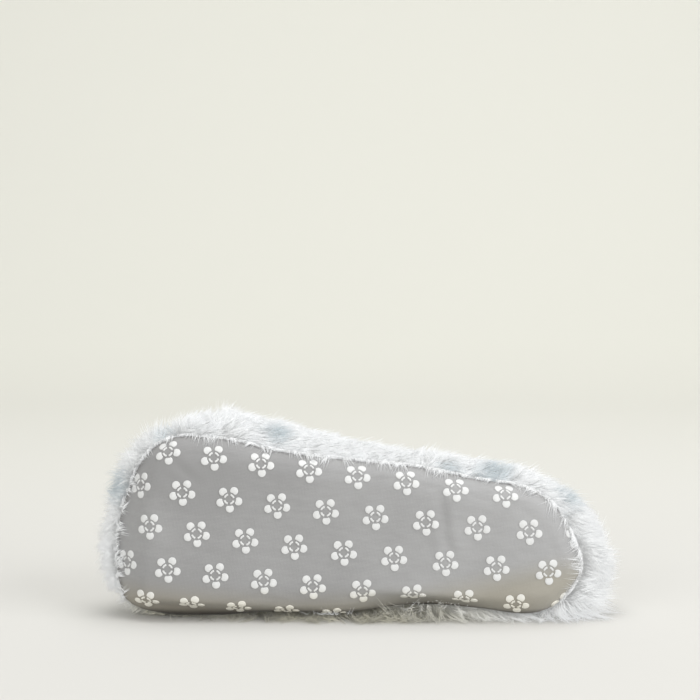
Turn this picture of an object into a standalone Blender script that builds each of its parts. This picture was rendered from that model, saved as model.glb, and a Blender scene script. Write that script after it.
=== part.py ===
"""Plush heated slipper for the left foot, lying on its inner side with the sole to the front.

The slipper is worked out in its own frame first: x runs from the heel to the toe, y to the outer
(little toe) side and z up from the tread. A parent empty then lays it down on the floor, z = 0.
All sizes are in metres.
"""

import math
from collections import namedtuple

import bpy
import numpy as np
from mathutils import Matrix

# Driving sizes of the last and the sole
SOLE_LENGTH = 0.255
BALL_WIDTH = 0.100
INSTEP_HEIGHT = 0.084
HEEL_HEIGHT = 0.068
SOLE_THICKNESS = 0.0165
EDGE_LIFT = 0.0130
TOP_EDGE_ROUND = 0.003
TOE_SPRING = 0.004
SPRING_START = 0.84

# Upper wall, its fur and the insole
WALL = 0.0035
FEATHER_INSET = 0.003
GAP = 0.0003
INSOLE_THICKNESS = 0.005
INSOLE_ROUND = 0.002
INSOLE_EASE = 0.0006
LOCK_RISE = 0.0044
LOCK_SWEEP = 0.0070
LOCK_DROOP = 0.0050
LIP_RISE = 0.0045
FUR_SEED = 7

# Collar opening, seen from above
COLLAR_BACK = 0.010
COLLAR_FRONT = 0.152
COLLAR_HALF_WIDTH = 0.030
COLLAR_SQUARENESS = 2.3

# How the slipper lies: toe end raised, sole leaning back, soft side and sole edge pressed by the floor
LIE_TILT = math.radians(4.5)
LIE_LEAN = math.radians(3.0)
SOLE_SETTLE = 0.0015
PRESSED_PILE = 0.0030
PRESS_SOFTNESS = 0.0015

# Mesh counts: two columns and four rows of points make one lock of fur
LOCKS_AROUND = 56
COLUMNS = 2 * LOCKS_AROUND
LOCK_ROWS = 6
ROWS_PER_LOCK = 4
FUR_ROWS = LOCK_ROWS * ROWS_PER_LOCK
LINING_ROWS = 8
EDGE_STEPS = 5
LIP_STEPS = 3
TREAD_STRIPS = 4

# Colours and finishes
SOLE_GREY = (0.36, 0.36, 0.35, 1.0)
FUR_WHITE = (0.82, 0.83, 0.84, 1.0)
LINING_WHITE = (0.78, 0.78, 0.77, 1.0)
CLOTH_ROUGHNESS = 0.95

# Seam line of the sole, heel to toe round the outer side and back round the inner side.
# along is a share of the sole length from the heel, across a share of the ball width from the middle,
# and edge is how far in from the seam the padded lower edge is rounded, over a rise of EDGE_LIFT.
OutlineRow = namedtuple("OutlineRow", "place along across edge")
SOLE_OUTLINE = [
    OutlineRow("heel back", 0.000, -0.030, 0.0120),
    OutlineRow("heel outer corner", 0.050, 0.190, 0.0110),
    OutlineRow("heel outer side", 0.125, 0.322, 0.0090),
    OutlineRow("quarter outer", 0.290, 0.388, 0.0080),
    OutlineRow("waist outer", 0.500, 0.420, 0.0080),
    OutlineRow("behind ball outer", 0.660, 0.463, 0.0080),
    OutlineRow("ball outer", 0.825, 0.500, 0.0095),
    OutlineRow("toe outer corner", 0.950, 0.350, 0.0150),
    OutlineRow("toe outer front", 0.992, 0.100, 0.0170),
    OutlineRow("toe tip", 1.000, -0.170, 0.0165),
    OutlineRow("toe inner corner", 0.966, -0.430, 0.0150),
    OutlineRow("ball inner", 0.860, -0.500, 0.0140),
    OutlineRow("behind ball inner", 0.660, -0.440, 0.0140),
    OutlineRow("waist inner", 0.420, -0.375, 0.0140),
    OutlineRow("quarter inner", 0.210, -0.348, 0.0140),
    OutlineRow("heel inner corner", 0.048, -0.255, 0.0130),
]
TOE_TIP_ROW = 9

# Ribs of the upper, from the sole seam to the collar. station is the share of the seam from heel to toe.
# swell and rise place the lower handle outwards and up, reach and drop the upper one out and down.
RibRow = namedtuple("RibRow", "place station collar_height swell rise reach drop pile")
UPPER_RIBS = [
    RibRow("heel", 0.00, HEEL_HEIGHT, 0.009, 0.022, 0.004, 0.016, 0.0110),
    RibRow("quarter", 0.24, 0.056, 0.008, 0.018, 0.008, 0.014, 0.0095),
    RibRow("waist", 0.45, 0.060, 0.010, 0.022, 0.014, 0.012, 0.0095),
    RibRow("ball", 0.72, 0.078, 0.012, 0.032, 0.032, 0.009, 0.0095),
    RibRow("toe", 1.00, INSTEP_HEIGHT, 0.002, 0.042, 0.056, 0.010, 0.0068),
]

# One lock of fur in four rows of points. crest and valley are shares of LOCK_RISE down the middle of
# the lock and beside it, lead is the share of LOCK_SWEEP and LOCK_DROOP that its middle is drawn out by.
LockRow = namedtuple("LockRow", "place crest valley lead")
LOCK_SHAPE = [
    LockRow("under the tip", 0.10, 0.15, 0.0),
    LockRow("tip", 0.80, 0.05, 1.0),
    LockRow("back", 1.00, 0.10, 0.5),
    LockRow("root", 0.50, 0.15, 0.1),
]
LOCK_UNEVENNESS = 0.35


def closed_curve(points, steps):
    """Smooth closed curve through points, as steps points for each span, with tangents from chord lengths."""
    chords = np.linalg.norm(np.roll(points, -1, 0) - points, axis=1)[:, None]
    slopes = (np.roll(points, -1, 0) - points) / chords
    before, after = np.roll(chords, 1, 0), chords
    tangents = (np.roll(slopes, 1, 0) * after + slopes * before) / (before + after)
    t = (np.arange(steps) / steps)[None, :, None]
    start, end = points[:, None], np.roll(points, -1, 0)[:, None]
    out_tangent, in_tangent = (tangents * chords)[:, None], (np.roll(tangents, -1, 0) * chords)[:, None]
    curve = (
        start * (2 * t**3 - 3 * t**2 + 1)
        + out_tangent * (t**3 - 2 * t**2 + t)
        + end * (3 * t**2 - 2 * t**3)
        + in_tangent * (t**3 - t**2)
    )
    return curve.reshape(-1, points.shape[1])


def evenly_spaced(path, count):
    """count points at equal distances along an open path, its first point included and its last left out."""
    lengths = np.concatenate([[0.0], np.cumsum(np.linalg.norm(np.diff(path, axis=0), axis=1))])
    wanted = np.linspace(0.0, lengths[-1], count + 1)[:-1]
    return np.stack([np.interp(wanted, lengths, path[:, axis]) for axis in range(path.shape[1])], axis=1)


def seam_line():
    """The sole's outline and its edge rounding at COLUMNS points, heel back first and toe tip at the half."""
    steps = 24
    rows = [(row.along * SOLE_LENGTH, row.across * BALL_WIDTH, row.edge) for row in SOLE_OUTLINE]
    curve = closed_curve(np.array(rows), steps)
    toe = TOE_TIP_ROW * steps
    outer = evenly_spaced(curve[: toe + 1], COLUMNS // 2)
    inner = evenly_spaced(np.vstack([curve[toe:], curve[:1]]), COLUMNS // 2)
    line = np.vstack([outer, inner])
    return line[:, :2], line[:, 2]


def outward(loop):
    """Unit vectors pointing out of a flat closed loop, one for each point."""
    along = np.roll(loop, -1, 0) - np.roll(loop, 1, 0)
    across = np.stack([-along[:, 1], along[:, 0]], axis=1)
    return across / np.linalg.norm(across, axis=1)[:, None]


def collar_line():
    """The collar opening from above, matched point by point to the seam line."""
    half_length = (COLLAR_FRONT - COLLAR_BACK) / 2
    angle = np.linspace(math.pi, -math.pi, 721)
    power = 2 / COLLAR_SQUARENESS
    along = np.sign(np.cos(angle)) * np.abs(np.cos(angle)) ** power
    across = np.sign(np.sin(angle)) * np.abs(np.sin(angle)) ** power
    loop = np.stack([COLLAR_BACK + half_length * (1 + along), COLLAR_HALF_WIDTH * across], axis=1)
    front = len(loop) // 2
    outer = evenly_spaced(loop[: front + 1], COLUMNS // 2)
    inner = evenly_spaced(loop[front:], COLUMNS // 2)
    return np.vstack([outer, inner])


def rib_sizes():
    """Each column of UPPER_RIBS, eased between its rows, for every point of the seam line."""
    share = np.arange(COLUMNS) / COLUMNS
    station = 1 - np.abs(1 - 2 * share)
    stations = [row.station for row in UPPER_RIBS]
    place = np.interp(station, stations, np.arange(len(stations)))
    eased = np.floor(place) + (1 - np.cos(math.pi * (place % 1))) / 2
    names = ("collar_height", "swell", "rise", "reach", "drop", "pile")
    columns = {name: [getattr(row, name) for row in UPPER_RIBS] for name in names}
    return {name: np.interp(eased, np.arange(len(stations)), column) for name, column in columns.items()}


def tread_height(along):
    """Underside of the sole: flat, with the toe lifted a little."""
    lift = np.clip((along / SOLE_LENGTH - SPRING_START) / (1 - SPRING_START), 0, None)
    return TOE_SPRING * lift**2


def lying_turn():
    """Turn that lays the slipper on its inner side: toe to -X, tread to -Y, outer side up."""
    stand_to_side = Matrix(((-1, 0, 0), (0, 0, 1), (0, 1, 0)))
    return Matrix.Rotation(-LIE_LEAN, 3, "X") @ Matrix.Rotation(LIE_TILT, 3, "Y") @ stand_to_side


class Floor:
    """The floor under the lying slipper: its upward direction and heights above it, in the slipper's frame."""

    def __init__(self, touching):
        self.up = np.array(lying_turn())[2]
        self.level = (touching @ self.up).min() + SOLE_SETTLE

    def height(self, points):
        return points @ self.up - self.level

    def press(self, points):
        """points with whatever lies under the floor lifted onto it."""
        return points + np.clip(-self.height(points), 0, None)[..., None] * self.up

    def press_softly(self, points, clearance):
        """points eased up so that none is nearer to the floor than clearance."""
        excess = (clearance - self.height(points)) / PRESS_SOFTNESS
        return points + (np.logaddexp(0, excess) * PRESS_SOFTNESS)[..., None] * self.up


def rings_to_faces(count, columns):
    """Quads between each ring of points and the next."""
    faces = []
    for ring in range(count - 1):
        for column in range(columns):
            beside = (column + 1) % columns
            low, high = ring * columns, (ring + 1) * columns
            faces.append((low + column, high + column, high + beside, low + beside))
    return faces


def bridge(points, ring, height, upward):
    """Points and quads that close a loop of points from its outer to its inner side in straight strips."""
    half = len(ring) // 2
    rows = [[ring[0]] * (TREAD_STRIPS + 1)]
    new_points = []
    for column in range(1, half):
        start, end = points[ring[column]], points[ring[-column]]
        row = [ring[column]]
        for strip in range(1, TREAD_STRIPS):
            spot = start + (end - start) * strip / TREAD_STRIPS
            new_points.append((spot[0], spot[1], height(spot[0])))
            row.append(len(points) + len(new_points) - 1)
        rows.append(row + [ring[-column]])
    rows.append([ring[half]] * (TREAD_STRIPS + 1))
    faces = []
    for here, there in zip(rows, rows[1:]):
        for strip in range(TREAD_STRIPS):
            corners = [here[strip], there[strip], there[strip + 1], here[strip + 1]]
            face = list(dict.fromkeys(corners))
            faces.append(face[::-1] if upward else face)
    return np.vstack([points, new_points]), faces


def add_part(name, points, faces, colour, root, collection):
    """A named mesh object with its own material, parented to the root."""
    mesh = bpy.data.meshes.new(name)
    mesh.from_pydata([tuple(p) for p in points], [], faces)
    mesh.validate()
    mesh.shade_smooth()
    material = bpy.data.materials.new(name)
    material.use_nodes = True
    shader = material.node_tree.nodes["Principled BSDF"]
    shader.inputs["Base Color"].default_value = colour
    shader.inputs["Roughness"].default_value = CLOTH_ROUGHNESS
    shader.inputs["Metallic"].default_value = 0.0
    mesh.materials.append(material)
    part = bpy.data.objects.new(name, mesh)
    collection.objects.link(part)
    part.parent = root
    return part


def closed_slab(rings, under, over):
    """Points and faces of a slab from its rings, closed below and above by strips at the given heights."""
    points = np.vstack(rings)
    faces = rings_to_faces(len(rings), COLUMNS)
    first = list(range(COLUMNS))
    last = list(range(len(points) - COLUMNS, len(points)))
    points, lower_faces = bridge(points, first, under, upward=False)
    points, upper_faces = bridge(points, last, over, upward=True)
    return points, faces + lower_faces + upper_faces


def outsole_points():
    """The padded outsole: rounded lower edge, upright side and flat top."""
    edge, edge_round = seam_line()
    out = outward(edge)
    rings = []
    for step in range(EDGE_STEPS + 1):
        turn = math.pi / 2 * step / EDGE_STEPS
        flat = edge - out * (edge_round * (1 - math.sin(turn)))[:, None]
        lift = EDGE_LIFT * (1 - math.cos(turn))
        rings.append(np.column_stack([flat, tread_height(flat[:, 0]) * (1 - lift / SOLE_THICKNESS) + lift]))
    for share in (0.3, 1.0):
        flat = edge - out * TOP_EDGE_ROUND * share
        level = SOLE_THICKNESS - TOP_EDGE_ROUND * (1 - share)
        rings.append(np.column_stack([flat, np.full(COLUMNS, level)]))
    return closed_slab(rings, tread_height, lambda along: SOLE_THICKNESS)


def insole_points(floor):
    """The insole: a thin pad on the outsole, inside the upper, that gives way where the floor presses."""
    edge, _ = seam_line()
    out = outward(edge)
    low, high = SOLE_THICKNESS + GAP, SOLE_THICKNESS + GAP + INSOLE_THICKNESS
    rings = []
    for inset, level in ((0, low), (0, high - INSOLE_ROUND), (0.3, high - 0.3 * INSOLE_ROUND), (1, high)):
        flat = edge - out * (FEATHER_INSET + WALL + INSOLE_EASE + inset * INSOLE_ROUND)
        rings.append(np.column_stack([flat, np.full(COLUMNS, level)]))
    points, faces = closed_slab(rings, lambda along: low, lambda along: high)
    pressed = floor.press_softly(points, PRESSED_PILE + WALL + INSOLE_EASE)
    pressed[:, 2] = points[:, 2]
    return pressed, faces


def backing(rows, floor):
    """Outer face of the upper's wall, under the fur, as a grid of points from the sole seam to the collar."""
    sizes = rib_sizes()
    edge, _ = seam_line()
    out = outward(edge)
    seam = np.column_stack([edge - out * FEATHER_INSET, np.full(COLUMNS, SOLE_THICKNESS + GAP)])
    collar = np.column_stack([collar_line(), sizes["collar_height"]])
    away = (seam - collar)[:, :2]
    away /= np.linalg.norm(away, axis=1)[:, None]
    lower = seam + np.column_stack([out * sizes["swell"][:, None], sizes["rise"]])
    upper = collar + np.column_stack([away * sizes["reach"][:, None], -sizes["drop"]])
    v = (np.arange(rows + 1) / rows)[:, None, None]
    grid = (1 - v) ** 3 * seam + 3 * v * (1 - v) ** 2 * lower + 3 * v**2 * (1 - v) * upper + v**3 * collar
    pressed = floor.press_softly(grid, PRESSED_PILE)
    pressed[0, :, 2] = grid[0, :, 2]
    return pressed


def grid_directions(grid):
    """Unit normals of a ring grid, pointing out, and unit steps round it and up it."""
    around = np.roll(grid, -1, 1) - np.roll(grid, 1, 1)
    climb = np.gradient(grid, axis=0)
    normal = np.cross(climb, around)
    units = [step / np.linalg.norm(step, axis=2)[..., None] for step in (normal, around, climb)]
    units[0][0, :, 2] = 0
    units[0][0] /= np.linalg.norm(units[0][0], axis=1)[:, None]
    return units


def fur_relief():
    """Shares of the lock height and of its drawing out at every point: staggered rows of uneven locks."""
    rng = np.random.default_rng(FUR_SEED)
    relief = np.zeros((FUR_ROWS + 1, COLUMNS))
    lead = np.zeros_like(relief)
    uneven = 1 + LOCK_UNEVENNESS * rng.uniform(-1, 1, (LOCK_ROWS + 1, LOCKS_AROUND))
    for row in range(FUR_ROWS + 1):
        lock_row, place = divmod(row, ROWS_PER_LOCK)
        shape = LOCK_SHAPE[place]
        for column in range(COLUMNS):
            on_crest = (column + lock_row) % 2
            size = uneven[lock_row, (column + lock_row) // 2 % LOCKS_AROUND]
            relief[row, column] = size * (shape.crest if on_crest else shape.valley)
            lead[row, column] = size * shape.lead * on_crest
    return relief, lead


def fur_points(grid, floor):
    """Outer face of the fur: pile and locks swept towards heel and sole, pressed flat on the floor."""
    normal, around, climb = grid_directions(grid)
    relief, lead = fur_relief()
    seam_ring = np.ones(FUR_ROWS + 1)
    seam_ring[0] = 0.7
    thickness = (rib_sizes()["pile"] * seam_ring[:, None]) + LOCK_RISE * relief
    toe_way = np.where(np.arange(COLUMNS) < COLUMNS // 2, 1.0, -1.0)[None, :, None]
    sweep = -toe_way * around * LOCK_SWEEP - climb * LOCK_DROOP
    room = floor.height(grid) / np.clip(-(normal @ floor.up), 1e-6, None)
    thickness = np.where(normal @ floor.up < 0, np.minimum(thickness, room), thickness)
    return floor.press(grid + normal * thickness[..., None] + sweep * lead[..., None])


def lip_points(grid, outer, inner):
    """Rounded fur edge of the collar, from the outer to the inner face."""
    climb = grid_directions(grid)[2][-1]
    rings = []
    for step in range(1, LIP_STEPS + 1):
        turn = math.pi * step / (LIP_STEPS + 1)
        across = (outer[-1] + inner[-1]) / 2 + (outer[-1] - inner[-1]) / 2 * math.cos(turn)
        rings.append(across + climb * LIP_RISE * math.sin(turn))
    return np.array(rings)


def upper_points(floor):
    """The hollow upper: lining face, wall and fur in one, open at the collar and underneath."""
    outer_base = backing(FUR_ROWS, floor)
    outer = fur_points(outer_base, floor)
    inner_base = backing(LINING_ROWS, floor)
    inner = inner_base - grid_directions(inner_base)[0] * WALL
    inner[0, :, 2] = inner_base[0, :, 2]
    lip = floor.press(lip_points(outer_base, outer, inner))
    rings = np.concatenate([outer, lip, inner[::-1]])
    faces = rings_to_faces(len(rings), COLUMNS)
    last = (len(rings) - 1) * COLUMNS
    for column in range(COLUMNS):
        beside = (column + 1) % COLUMNS
        faces.append((last + column, column, beside, last + beside))
    return rings.reshape(-1, 3), faces


def main():
    for old in list(bpy.data.objects):
        bpy.data.objects.remove(old)
    collection = bpy.data.collections.new("heated_slipper")
    bpy.context.scene.collection.children.link(collection)
    root = bpy.data.objects.new("slipper_root", None)
    collection.objects.link(root)

    sole_points, sole_faces = outsole_points()
    floor = Floor(sole_points)
    sole_points = floor.press(sole_points)
    shapes = {
        "outsole": (sole_points, sole_faces, SOLE_GREY),
        "insole": (*insole_points(floor), LINING_WHITE),
        "upper": (*upper_points(floor), FUR_WHITE),
    }
    turn = lying_turn()
    turned = np.vstack([points for points, _, _ in shapes.values()]) @ np.array(turn).T
    low, high = turned.min(0), turned.max(0)
    middle = (low + high) / 2
    root.matrix_world = Matrix.Translation((-middle[0], -middle[1], -floor.level)) @ turn.to_4x4()
    for name, (points, faces, colour) in shapes.items():
        add_part(name, points, faces, colour, root, collection)


main()
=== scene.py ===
import math

import bmesh
import bpy
import numpy as np
from mathutils import Matrix, Vector
from mathutils.bvhtree import BVHTree
from mathutils.kdtree import KDTree


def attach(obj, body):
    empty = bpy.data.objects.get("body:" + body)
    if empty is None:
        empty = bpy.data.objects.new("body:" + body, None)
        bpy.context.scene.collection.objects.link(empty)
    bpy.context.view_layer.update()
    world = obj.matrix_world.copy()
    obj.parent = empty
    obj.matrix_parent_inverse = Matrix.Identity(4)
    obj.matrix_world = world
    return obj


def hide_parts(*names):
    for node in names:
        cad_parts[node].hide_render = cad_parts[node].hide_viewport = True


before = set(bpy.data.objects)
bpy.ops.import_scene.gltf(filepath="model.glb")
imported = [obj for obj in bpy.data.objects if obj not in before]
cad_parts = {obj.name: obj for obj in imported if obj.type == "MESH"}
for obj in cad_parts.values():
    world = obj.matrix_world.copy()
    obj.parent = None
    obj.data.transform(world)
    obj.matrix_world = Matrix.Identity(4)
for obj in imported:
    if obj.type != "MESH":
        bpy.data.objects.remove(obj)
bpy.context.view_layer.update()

# the slipper's own axes: x heel to toe, y to the outer side, z up from the tread
lie = {"tilt": 4.5, "lean": 3.0, "heelEnd": (0.12393, -0.04612, 0.03295)}  # degrees, metres
sideTurn = Matrix(((-1, 0, 0), (0, 0, 1), (0, 1, 0)))
tiltTurn = Matrix.Rotation(math.radians(lie["tilt"]), 3, "Y")
leanTurn = Matrix.Rotation(-math.radians(lie["lean"]), 3, "X")
shoeAxes = np.array(leanTurn @ tiltTurn @ sideTurn)
heelEnd = np.array(lie["heelEnd"])
toeward, outerward, upward = (Vector(shoeAxes[:, axis]) for axis in range(3))
black = (0, 0, 0, 1)


def toWorld(points):
    return np.asarray(points, float) @ shoeAxes.T + heelEnd


def toShoe(points):
    return (np.asarray(points, float) - heelEnd) @ shoeAxes


def unit(vectors):
    return vectors / np.maximum(np.linalg.norm(vectors, axis=-1, keepdims=True), 1e-12)


def smoothStep(values, first, last):
    share = np.clip((values - first) / (last - first), 0, 1)
    return share * share * (3 - 2 * share)


def follow(values, stops):  # a line drawn through a few stops, level past its ends
    return np.interp(values, list(stops), list(stops.values()))


def metres(table):  # from rows in millimetres
    return [np.array(row) / 1000 for row in table.values()]


class Wire:  # one socket of a material, so that sums read as plain Python
    def __init__(self, tree, socket=None):
        self.tree, self.socket = tree, socket

    def node(self, kind, settings=None, links=None, out=0):
        made = self.tree.nodes.new(kind)
        for name, value in (settings or {}).items():
            setattr(made, name, value)
        for name, value in (links or {}).items():
            if isinstance(value, Wire):
                self.tree.links.new(value.socket, made.inputs[name])
            else:
                made.inputs[name].default_value = value
        return Wire(self.tree, made.outputs[out])

    def maths(self, operation, first, second):
        return self.node("ShaderNodeMath", {"operation": operation}, {0: first, 1: second})

    def mix(self, share, first, second):  # colours
        return self.node("ShaderNodeMix", {"data_type": "RGBA"}, {0: share, 6: first, 7: second}, out=2)

    def ramp(self, value, first, last, most=1.0):  # 0 to most as the value goes from first to last
        links = {0: value, 1: first, 2: last, 3: 0.0, 4: most}
        return self.node("ShaderNodeMapRange", {"interpolation_type": "SMOOTHSTEP"}, links)

    def coords(self):  # metres, as the slipper lies
        return self.node("ShaderNodeTexCoord", out=3)

    def axis(self, coords, number):
        return self.node("ShaderNodeSeparateXYZ", None, {"Vector": coords}, out=number)

    def noise(self, coords, scale, detail, roughness=0.5):
        links = {"Vector": coords, "Scale": scale, "Detail": detail, "Roughness": roughness}
        return self.node("ShaderNodeTexNoise", None, links)

    def bump(self, height, strength, distance):
        links = {"Height": height, "Strength": strength, "Distance": distance}
        return self.node("ShaderNodeBump", None, links)

    def own(self, label):  # a number kept on the mesh's points
        return self.node("ShaderNodeAttribute", {"attribute_name": label}, out=2)

    def __add__(self, other):
        return self.maths("ADD", self, other)

    def __sub__(self, other):
        return self.maths("SUBTRACT", self, other)

    def __mul__(self, other):
        return self.maths("MULTIPLY", self, other)

    def __pow__(self, other):
        return self.maths("POWER", self, other)

    __radd__ = __add__
    __rmul__ = __mul__


def weighted(wires, shares):
    parts = [wires[name] * share for name, share in shares.items()]
    return sum(parts[1:], parts[0])


def startMaterial(name, settings):
    material = bpy.data.materials.new(name)
    material.use_nodes = True
    tree = material.node_tree
    shader = tree.nodes["Principled BSDF"]
    for socket, value in settings.items():
        shader.inputs[socket].default_value = value
    return material, Wire(tree), shader


def feed(start, shader, socket, wire):
    start.tree.links.new(wire.socket, shader.inputs[socket])


def addObject(name, mesh, material, replaced=None):
    made = bpy.data.objects.new(name, mesh)
    bpy.context.scene.collection.objects.link(made)
    for one in material if isinstance(material, list) else [material]:
        mesh.materials.append(one)
    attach(made, "root")
    if replaced:
        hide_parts(replaced)
    return made


def meshFromArrays(name, points, corners):
    mesh = bpy.data.meshes.new(name)
    mesh.vertices.add(len(points))
    mesh.vertices.foreach_set("co", np.ascontiguousarray(points, np.float32).ravel())
    mesh.loops.add(corners.size)
    mesh.loops.foreach_set("vertex_index", np.ascontiguousarray(corners, np.int32).ravel())
    mesh.polygons.add(len(corners))
    mesh.polygons.foreach_set("loop_start", np.arange(0, corners.size, 3, dtype=np.int32))
    mesh.update(calc_edges=True)
    mesh.validate()
    mesh.shade_smooth()
    return mesh


def meshFromShape(name, shape):
    mesh = bpy.data.meshes.new(name)
    shape.to_mesh(mesh)
    shape.free()
    mesh.shade_smooth()
    return mesh


def keepOnPoints(mesh, numbers):  # one number a point, for the materials
    for label, values in numbers.items():
        kept = mesh.attributes.new(label, "FLOAT", "POINT")
        kept.data.foreach_set("value", np.asarray(values, np.float32))


def places(mesh):
    flat = np.empty(len(mesh.vertices) * 3)
    mesh.vertices.foreach_get("co", flat)
    return flat.reshape(-1, 3)


def surfaceOf(piece):
    shape = bmesh.new()
    shape.from_mesh(piece.data)
    tree = BVHTree.FromBMesh(shape)
    shape.free()
    return tree


def newVerts(result, key="geom"):
    return [v for v in result[key] if isinstance(v, bmesh.types.BMVert)]


def mergedCopy(node, gap=0.00002):  # a node's solid, with its facets joined
    copied = bmesh.new()
    copied.from_mesh(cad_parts[node].data)
    bmesh.ops.remove_doubles(copied, verts=copied.verts, dist=gap)
    return copied


def evenMesh(copied, name, voxel, padding=None, levels=0):  # an even skin of small quads over a closed form
    rough = bpy.data.meshes.new(name + "Rough")
    copied.to_mesh(rough)
    copied.free()
    holder = bpy.data.objects.new(name + "Rough", rough)
    bpy.context.scene.collection.objects.link(holder)
    remesh = holder.modifiers.new("even", "REMESH")
    remesh.mode, remesh.voxel_size = "VOXEL", voxel
    applyModifiers(holder)
    if padding:
        pressOut(holder, padding)
    if levels:
        finer = holder.modifiers.new("finer", "SUBSURF")
        finer.levels = finer.render_levels = levels
        applyModifiers(holder)
    skin = bmesh.new()
    skin.from_mesh(holder.data)
    bpy.data.objects.remove(holder)
    return skin


def applyModifiers(holder):
    graph = bpy.context.evaluated_depsgraph_get()
    baked = bpy.data.meshes.new_from_object(holder.evaluated_get(graph))
    holder.modifiers.clear()
    holder.data = baked


def pressOut(holder, padding):  # cloth blown up softly by its filling, held near its pattern
    before = places(holder.data)
    cloth = holder.modifiers.new("filling", "CLOTH")
    cloth.settings.use_pressure = True
    cloth.settings.uniform_pressure_force = padding["pressure"]
    cloth.settings.effector_weights.gravity = 0
    cloth.settings.tension_stiffness = cloth.settings.compression_stiffness = padding["stiffness"]
    cloth.collision_settings.use_collision = False
    cloth.point_cache.frame_start, cloth.point_cache.frame_end = 1, padding["frames"]
    scene = bpy.context.scene
    for step in range(1, padding["frames"] + 1):
        scene.frame_set(step)
    graph = bpy.context.evaluated_depsgraph_get()
    moved = places(holder.evaluated_get(graph).data) - before
    holder.modifiers.clear()
    scene.frame_set(1)
    size = np.linalg.norm(moved, axis=1, keepdims=True)
    moved *= np.minimum(1, padding["most"] / np.maximum(size, 1e-9))
    holder.data.vertices.foreach_set("co", (before + moved).ravel())
    furthest = float(np.linalg.norm(moved, axis=1).max()) * 1000
    print(holder.name, "pressed out by up to", round(furthest, 2), "mm")


camera = {  # at the photograph's angle: degrees, metres, lens and sensor in millimetres
    "rise": 10.0, "away": 1.186, "aim": (0.0, -0.04716, 0.045), "pitch": -5.005, "yaw": 0.131,
    "lens": 112.4, "sensor": 36.0, "clip": (0.05, 30.0),
}


def setCamera():
    data = bpy.data.cameras.new("photoCamera")
    data.lens, data.sensor_width = camera["lens"], camera["sensor"]
    data.clip_start, data.clip_end = camera["clip"]
    eye = bpy.data.objects.new("photoCamera", data)
    bpy.context.scene.collection.objects.link(eye)
    rise = math.radians(camera["rise"])
    back = Vector((0, -math.cos(rise), math.sin(rise))) * camera["away"]
    eye.location = Vector(camera["aim"]) + back
    eye.rotation_euler = (math.radians(90 + camera["pitch"]), 0, math.radians(camera["yaw"]))
    bpy.context.scene.camera = eye


studio = {
    "floorColour": (0.628, 0.621, 0.598, 1), "wallColour": (0.729, 0.726, 0.672, 1), "fade": (0.1, 1.3),
    "grain": 5.0, "mottle": 0.08,
    "front": -2.6, "back": 1.0, "sweep": 1.2, "wall": 2.4, "halfWidth": 4.0, "steps": 20,
    "skyColour": (1.0, 0.995, 0.972, 1), "skyStrength": 0.54,
}
lamps = {  # place, aim, size, watts, colour
    "keySoftbox": ((2.1, -1.50, 0.95), (0, 0, 0.05), 2.4, 52.0, (0.990, 0.993, 1.0)),
    "fillSoftbox": ((-1.3, -2.0, 0.9), (0, 0, 0.05), 1.8, 19.0, (1.0, 1.0, 0.98)),
    "topSoftbox": ((0.1, 0.05, 1.5), (0, 0, 0.03), 1.2, 9.0, (1.0, 1.0, 1.0)),
    "wallWash": ((0.0, 0.5, 2.1), (0, 1.7, 0.0), 1.6, 11.0, (1.0, 1.0, 0.98)),
}


def setLight():
    world = bpy.data.worlds.new("softRoom")
    world.use_nodes = True
    sky = world.node_tree.nodes["Background"]
    sky.inputs["Color"].default_value = studio["skyColour"]
    sky.inputs["Strength"].default_value = studio["skyStrength"]
    bpy.context.scene.world = world
    for name, (place, aim, size, watts, colour) in lamps.items():
        data = bpy.data.lights.new(name, "AREA")
        data.size, data.energy, data.color = size, watts, colour
        lamp = bpy.data.objects.new(name, data)
        bpy.context.scene.collection.objects.link(lamp)
        lamp.location = place
        lamp.rotation_euler = (Vector(aim) - Vector(place)).to_track_quat("-Z", "Y").to_euler()


def coveMesh():  # floor, round sweep and wall: one line, drawn out sideways
    cove = bmesh.new()
    left = -studio["halfWidth"]
    front = cove.verts.new((left, studio["front"], 0))
    back = cove.verts.new((left, studio["back"], 0))
    cove.edges.new((front, back))
    sweep = {"cent": (left, studio["back"], studio["sweep"]), "axis": (1, 0, 0), "angle": math.pi / 2}
    turned = bmesh.ops.spin(cove, geom=[back], steps=studio["steps"], **sweep)
    raised = bmesh.ops.extrude_vert_indiv(cove, verts=newVerts(turned, "geom_last"))
    bmesh.ops.translate(cove, verts=raised["verts"], vec=(0, 0, studio["wall"]))
    wide = bmesh.ops.extrude_edge_only(cove, edges=cove.edges[:])
    bmesh.ops.translate(cove, verts=newVerts(wide), vec=(2 * studio["halfWidth"], 0, 0))
    bmesh.ops.recalc_face_normals(cove, faces=cove.faces)
    if sum(f.normal.z for f in cove.faces) < 0:
        bmesh.ops.reverse_faces(cove, faces=cove.faces)
    return meshFromShape("studioFloor", cove)


def setStudio():
    setLight()
    mesh = coveMesh()
    material, start, shader = startMaterial("studioFloor", {"Roughness": 0.85, "Specular IOR Level": 0.2})
    coords = start.coords()
    grain = start.noise(coords, studio["grain"], 3.0)
    near, far = studio["fade"]
    back = start.node("ShaderNodeMapRange", None, {0: start.axis(coords, 1), 1: near, 2: far})
    share = back + grain * studio["mottle"] - studio["mottle"] / 2
    feed(start, shader, "Base Color", start.mix(share, studio["floorColour"], studio["wallColour"]))
    mesh.materials.append(material)
    floor = bpy.data.objects.new("studioFloor", mesh)
    bpy.context.scene.collection.objects.link(floor)
    print("studio set")


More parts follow.
